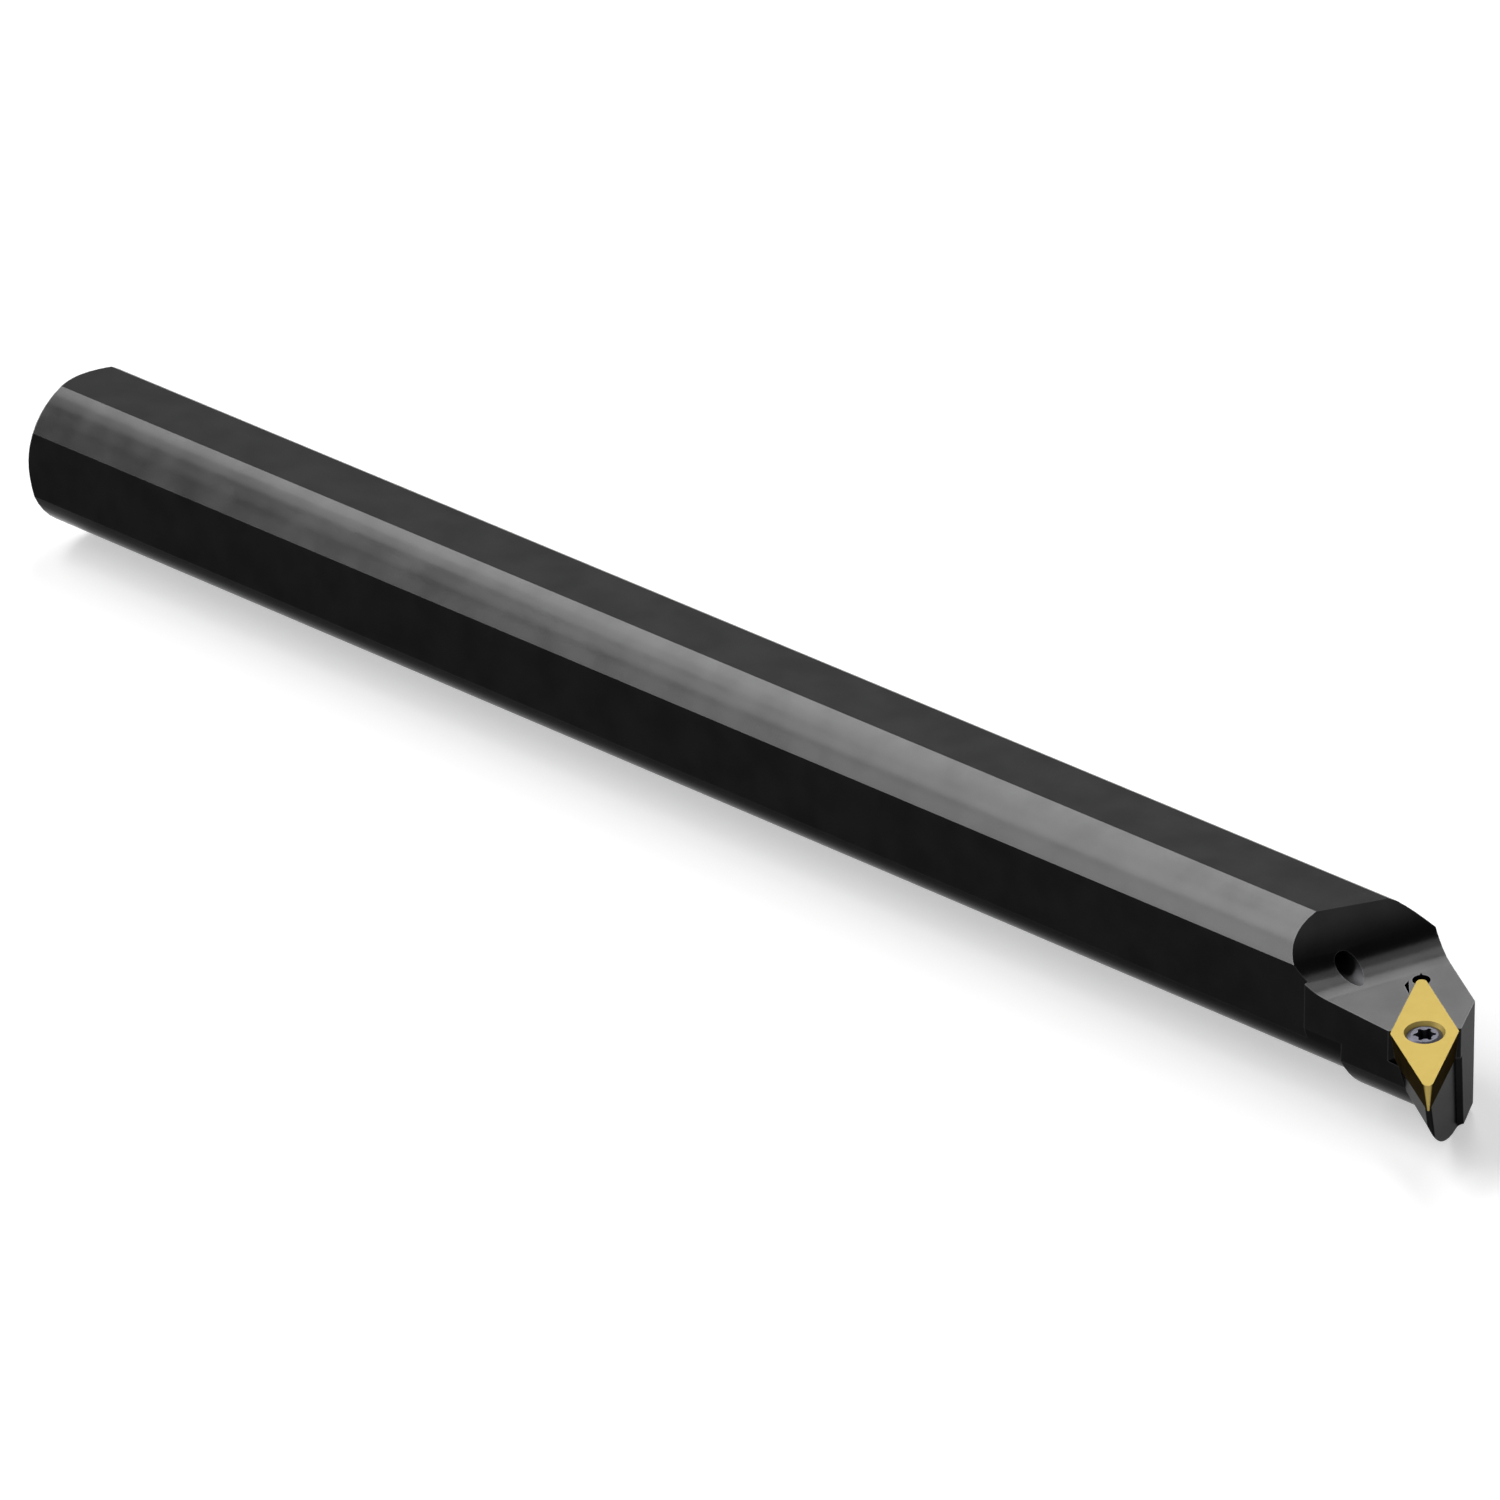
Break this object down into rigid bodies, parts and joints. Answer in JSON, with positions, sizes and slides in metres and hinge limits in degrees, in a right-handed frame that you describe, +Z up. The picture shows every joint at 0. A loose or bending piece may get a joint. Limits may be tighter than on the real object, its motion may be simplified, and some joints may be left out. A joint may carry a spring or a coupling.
{
  "type": "boring bar",
  "caption": "Steel boring bar with four flats, a coolant bore and a clamped rhombic insert at its cutting end.",
  "frame": {"origin": "centre of the tail face, on the axis of the bar", "axes": "+X along the bar from its tail to the cutting end, +Z up, normal to the flat on the insert's side of the bar, +Y across the bar, away from the insert's nose"},
  "size_m": [0.305, 0.0305, 0.0261],
  "materials": {
    "blackened_steel": "black oxide",
    "gold_coated_carbide": "satin nitride coating on sintered carbide",
    "bright_steel": "bright"
  },
  "bodies": {
    "root": {"bar_body": "blackened_steel", "cutting_insert": "gold_coated_carbide", "insert_screw": "bright_steel"}
  },
  "joints": []
}
